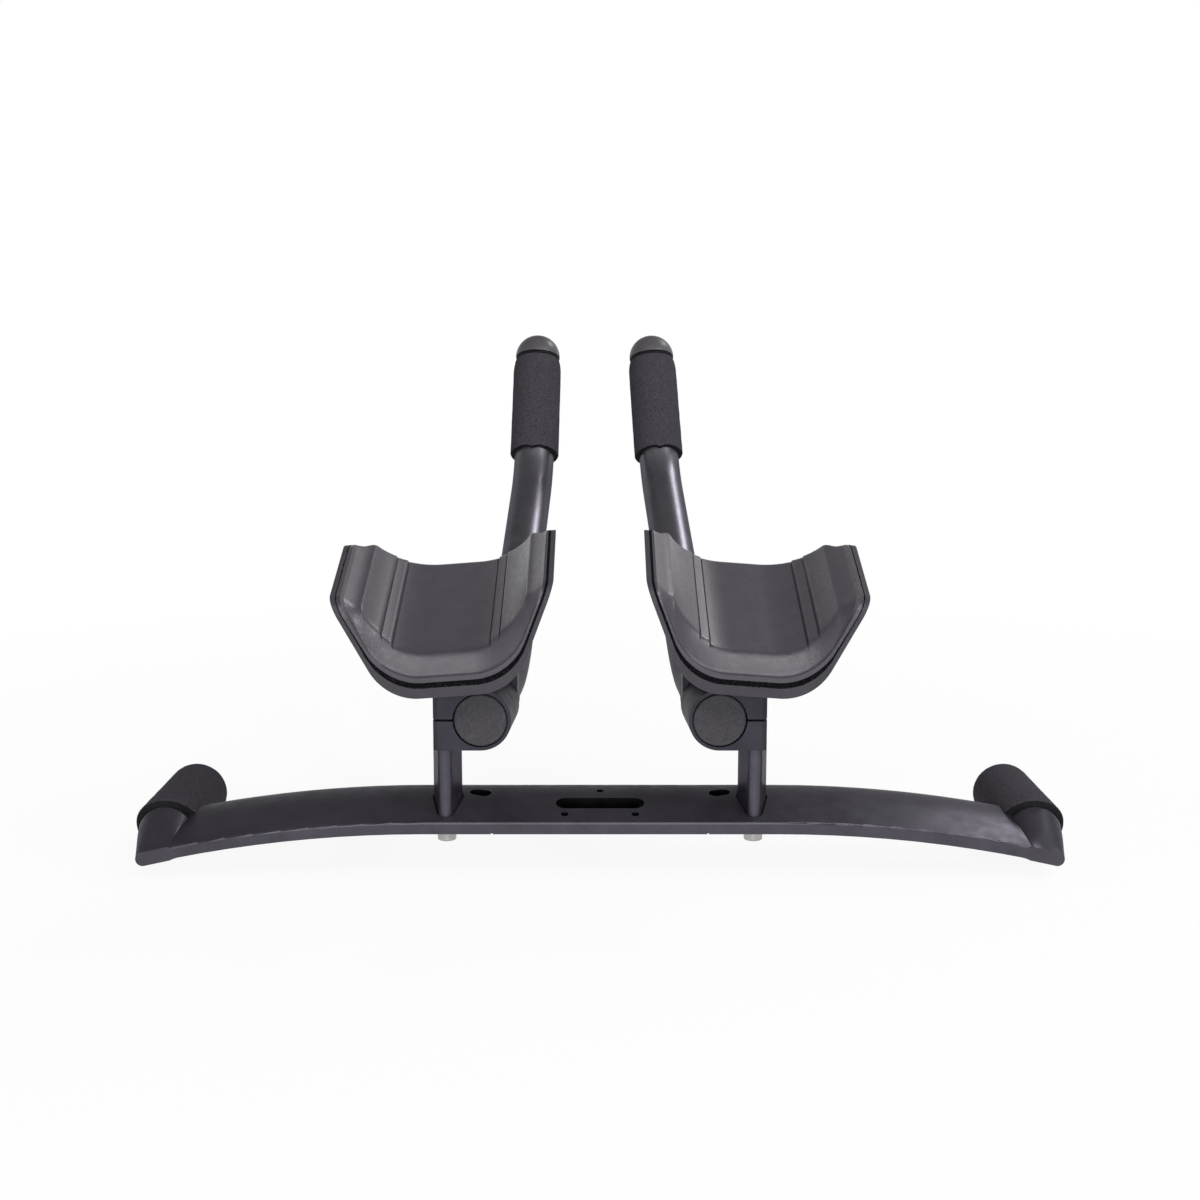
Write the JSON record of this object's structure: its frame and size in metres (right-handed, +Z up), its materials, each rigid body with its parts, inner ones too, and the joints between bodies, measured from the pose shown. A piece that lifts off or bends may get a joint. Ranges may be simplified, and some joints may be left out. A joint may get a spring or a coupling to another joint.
{
  "type": "aero handlebar",
  "caption": "Time-trial handlebar: winged base bar with foam-gripped horns, risers and clamps holding bent extensions with shift buttons, and padded arm rests.",
  "frame": {"origin": "middle of the wing's flat underside, where the stem seats", "axes": "+X to the rider's right, +Y towards the front wheel, +Z up"},
  "size_m": [0.4312, 0.3009, 0.2345],
  "materials": {
    "bar_black": "satin black anodised",
    "anodised_black": "satin black anodised, machined edges",
    "tube_black": "satin black anodised",
    "grip_foam": "matt closed-cell foam",
    "pad_foam": "matt moulded foam",
    "plug_plastic": "fine textured",
    "switch_plastic": "fine textured",
    "button_rubber": "smooth matt",
    "cup_plastic": "satin moulded",
    "loop_fabric": "hook and loop",
    "bolt_steel": "bright zinc"
  },
  "bodies": {
    "frame": {"base_bar": "bar_black", "left_base_grip": "grip_foam", "right_base_grip": "grip_foam", "left_post": "anodised_black", "right_post": "anodised_black", "left_riser_bolts": "bolt_steel", "right_riser_bolts": "bolt_steel", "left_riser_washers": "bolt_steel", "right_riser_washers": "bolt_steel", "left_clamp": "anodised_black", "right_clamp": "anodised_black", "left_rest_bracket": "anodised_black", "right_rest_bracket": "anodised_black", "left_extension": "tube_black", "right_extension": "tube_black", "left_extension_grip": "grip_foam", "right_extension_grip": "grip_foam", "left_rear_plug": "plug_plastic", "right_rear_plug": "plug_plastic", "left_switch_body": "switch_plastic", "right_switch_body": "switch_plastic", "left_tact_switch": "switch_plastic", "right_tact_switch": "switch_plastic", "left_cup": "cup_plastic", "right_cup": "cup_plastic", "left_cup_bolts": "bolt_steel", "right_cup_bolts": "bolt_steel", "left_hook_and_loop": "loop_fabric", "right_hook_and_loop": "loop_fabric", "left_pad": "pad_foam", "right_pad": "pad_foam"},
    "left_button": {"left_switch_button": "button_rubber"},
    "right_button": {"right_switch_button": "button_rubber"}
  },
  "joints": [
    {"name": "left_button_press", "type": "slide", "parent": "frame", "child": "left_button", "axis": [-0.0236, -0.422, -0.9063], "range_m": [0, 0.0006], "stiffness_N_per_m": 4000},
    {"name": "right_button_press", "type": "slide", "parent": "frame", "child": "right_button", "axis": [0.0614, -0.4194, -0.9057], "range_m": [0, 0.0006], "stiffness_N_per_m": 4000}
  ]
}
